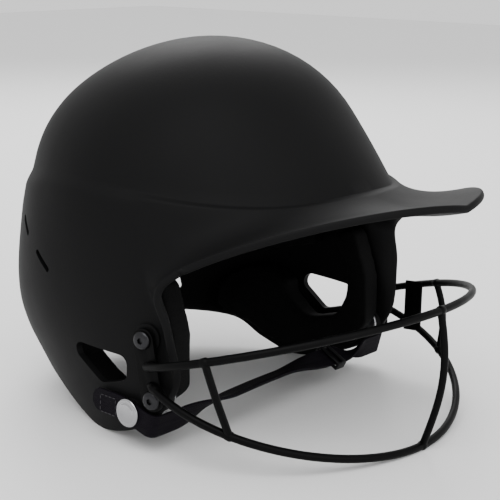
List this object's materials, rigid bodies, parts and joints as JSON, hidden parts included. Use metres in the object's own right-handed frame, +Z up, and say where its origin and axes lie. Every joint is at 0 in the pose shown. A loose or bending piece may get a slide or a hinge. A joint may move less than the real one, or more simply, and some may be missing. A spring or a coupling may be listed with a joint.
{
  "type": "batting helmet",
  "caption": "Matte black batting helmet with ear flaps, a short bill, foam liner pads, a bolted wire face guard and a chin strap with a press stud.",
  "frame": {"origin": "centre of the object's box, on the table it stands on", "axes": "+Z up; the face looks along -Y; the wearer's left is +X; the helmet leans back about 16 degrees, standing on its ear flaps and the guard's lower wire"},
  "size_m": [0.2132, 0.279, 0.2013],
  "materials": {
    "shell_plastic": "matte moulded ABS, soft sheen",
    "pad_foam": "closed-cell EVA foam, fine skin",
    "guard_wire": "satin black powder coat on steel wire",
    "tag_plastic": "plain black moulded tag",
    "screw_steel": "dark machined steel",
    "nut_steel": "zinc plated steel",
    "spacer_rubber": "moulded rubber",
    "webbing": "woven nylon webbing, black with a purple cast",
    "snap_chrome": "nickel plated pressed brass",
    "slider_plastic": "moulded acetal"
  },
  "bodies": {
    "helmet": {"shell": "shell_plastic", "brow_pad": "pad_foam", "crown_pad": "pad_foam", "rear_pad": "pad_foam", "side_pad_left": "pad_foam", "side_pad_right": "pad_foam", "jaw_pad_left": "pad_foam", "jaw_pad_right": "pad_foam", "guard_top_wire": "guard_wire", "guard_lower_wire": "guard_wire", "guard_center_bar": "guard_wire", "guard_side_bar_left": "guard_wire", "guard_side_bar_right": "guard_wire", "guard_plate_left": "guard_wire", "guard_plate_right": "guard_wire", "guard_tag": "tag_plastic", "guard_screws": "screw_steel", "guard_spacers": "spacer_rubber", "tee_nuts": "nut_steel", "snap_stud": "snap_chrome", "snap_washer": "nut_steel", "strap_rivet": "snap_chrome", "rivet_washer": "nut_steel"},
    "strap": {"chin_strap": "webbing", "strap_slider": "slider_plastic"},
    "tab": {"strap_tab": "webbing", "snap_cap": "snap_chrome"}
  },
  "joints": [
    {"name": "strap_swing", "type": "hinge", "parent": "helmet", "child": "strap", "pos_m": [0, -0.00832, 0.01988], "axis": [1, 0, 0], "range_deg": [0, 50]},
    {"name": "snap_peel", "type": "hinge", "parent": "strap", "child": "tab", "pos_m": [-0.09986, -0.0209, 0.01643], "axis": [0, -0.2639, 0.9646], "range_deg": [0, 75]}
  ]
}
